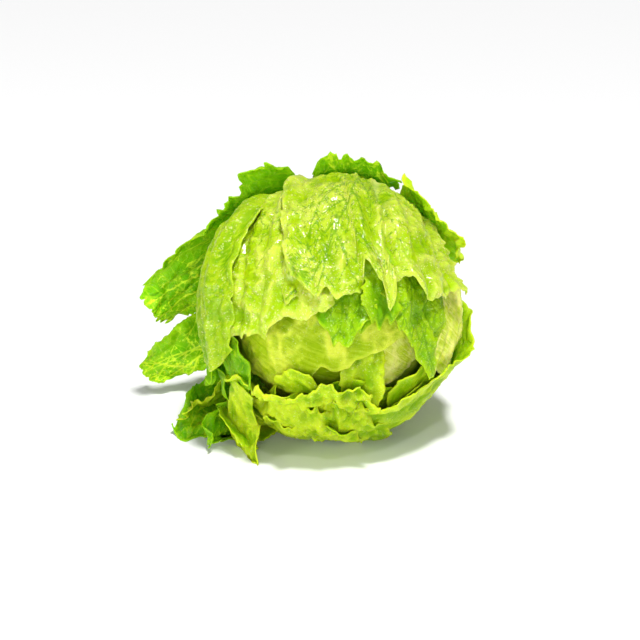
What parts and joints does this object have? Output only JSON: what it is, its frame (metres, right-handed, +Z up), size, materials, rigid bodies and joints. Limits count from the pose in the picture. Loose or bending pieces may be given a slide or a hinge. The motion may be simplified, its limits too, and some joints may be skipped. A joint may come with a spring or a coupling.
{
  "type": "crisphead lettuce",
  "caption": "Head of crisphead lettuce lying on its side: a tight heart in crinkled wrapper leaves, darker outer leaves spread behind and on the table, cut stem at the back.",
  "frame": {"origin": "on the table, in the middle of the flat patch that the head rests on, under the heart's centre", "axes": "+Z up; -Y towards the open crown of the head, which is the front; +X to the right seen from the front; the cut stem points to the back, slightly to the right and down"},
  "size_m": [0.2076, 0.1634, 0.159],
  "materials": {
    "wrapper": "moist, softly glossy crinkled leaf",
    "heart": "satin, smooth pale yellow-green leaf",
    "outer": "satin green leaf with pale veins",
    "stem": "matte cut stem, pale cream-green"
  },
  "bodies": {
    "root": {"top_wrapper_leaf": "wrapper", "left_wrapper_leaf": "wrapper", "under_wrapper_leaf": "wrapper", "inner_top_leaf": "wrapper", "inner_side_leaf": "wrapper", "far_left_leaf": "wrapper", "right_cup_leaf": "wrapper", "front_cup_leaf": "wrapper", "inner_cup_leaf": "wrapper", "heart": "heart", "heart_front_leaf": "heart", "heart_rib_leaf": "heart", "heart_left_leaf": "heart", "heart_fold_leaf": "heart", "back_left_leaf": "outer", "back_low_leaf": "outer", "back_right_leaf": "outer", "back_top_leaf": "outer", "floor_leaf": "outer", "pointed_leaf": "outer", "cut_stem": "stem"}
  },
  "joints": []
}
